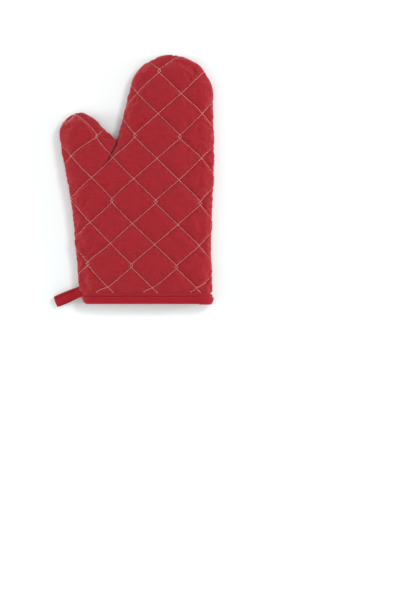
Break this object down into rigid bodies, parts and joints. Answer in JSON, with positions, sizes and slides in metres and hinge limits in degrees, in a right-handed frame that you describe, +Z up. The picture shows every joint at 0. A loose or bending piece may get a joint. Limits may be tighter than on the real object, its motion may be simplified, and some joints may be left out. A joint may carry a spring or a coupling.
{
  "type": "oven mitt",
  "caption": "Quilted cotton oven mitt with a separate thumb, padded front and back panels, a bound cuff and a folded hanging loop at the side seam.",
  "frame": {"origin": "middle of the bottom of the bounding box, on the surface the mitt lies on", "axes": "+X towards the straight side away from the thumb, +Y from the cuff towards the fingertips, +Z up out of the front panel"},
  "size_m": [0.1806, 0.2828, 0.028],
  "materials": {
    "shell_cloth": "matt plain-weave cotton",
    "binding_tape": "matt folded cotton tape",
    "lining_cloth": "matt unbleached cotton",
    "wadding": "soft fibre wadding",
    "quilting_thread": "fine twisted thread",
    "seam_thread": "fine twisted thread"
  },
  "bodies": {
    "mitt": {"shell_front": "shell_cloth", "wadding_front": "wadding", "lining_front": "lining_cloth", "quilting_thread_front": "quilting_thread", "shell_back": "shell_cloth", "wadding_back": "wadding", "lining_back": "lining_cloth", "quilting_thread_back": "quilting_thread", "side_seam_thread": "seam_thread", "cuff_binding": "binding_tape", "binding_thread": "seam_thread", "loop_sewn_ends": "binding_tape"},
    "loop": {"hanging_loop": "binding_tape", "loop_thread": "seam_thread"}
  },
  "joints": [
    {"name": "loop_swing", "type": "hinge", "parent": "mitt", "child": "loop", "pos_m": [-0.0631, -0.1257, 0.011], "axis": [0, 1, 0], "range_deg": [-55, 80]}
  ]
}
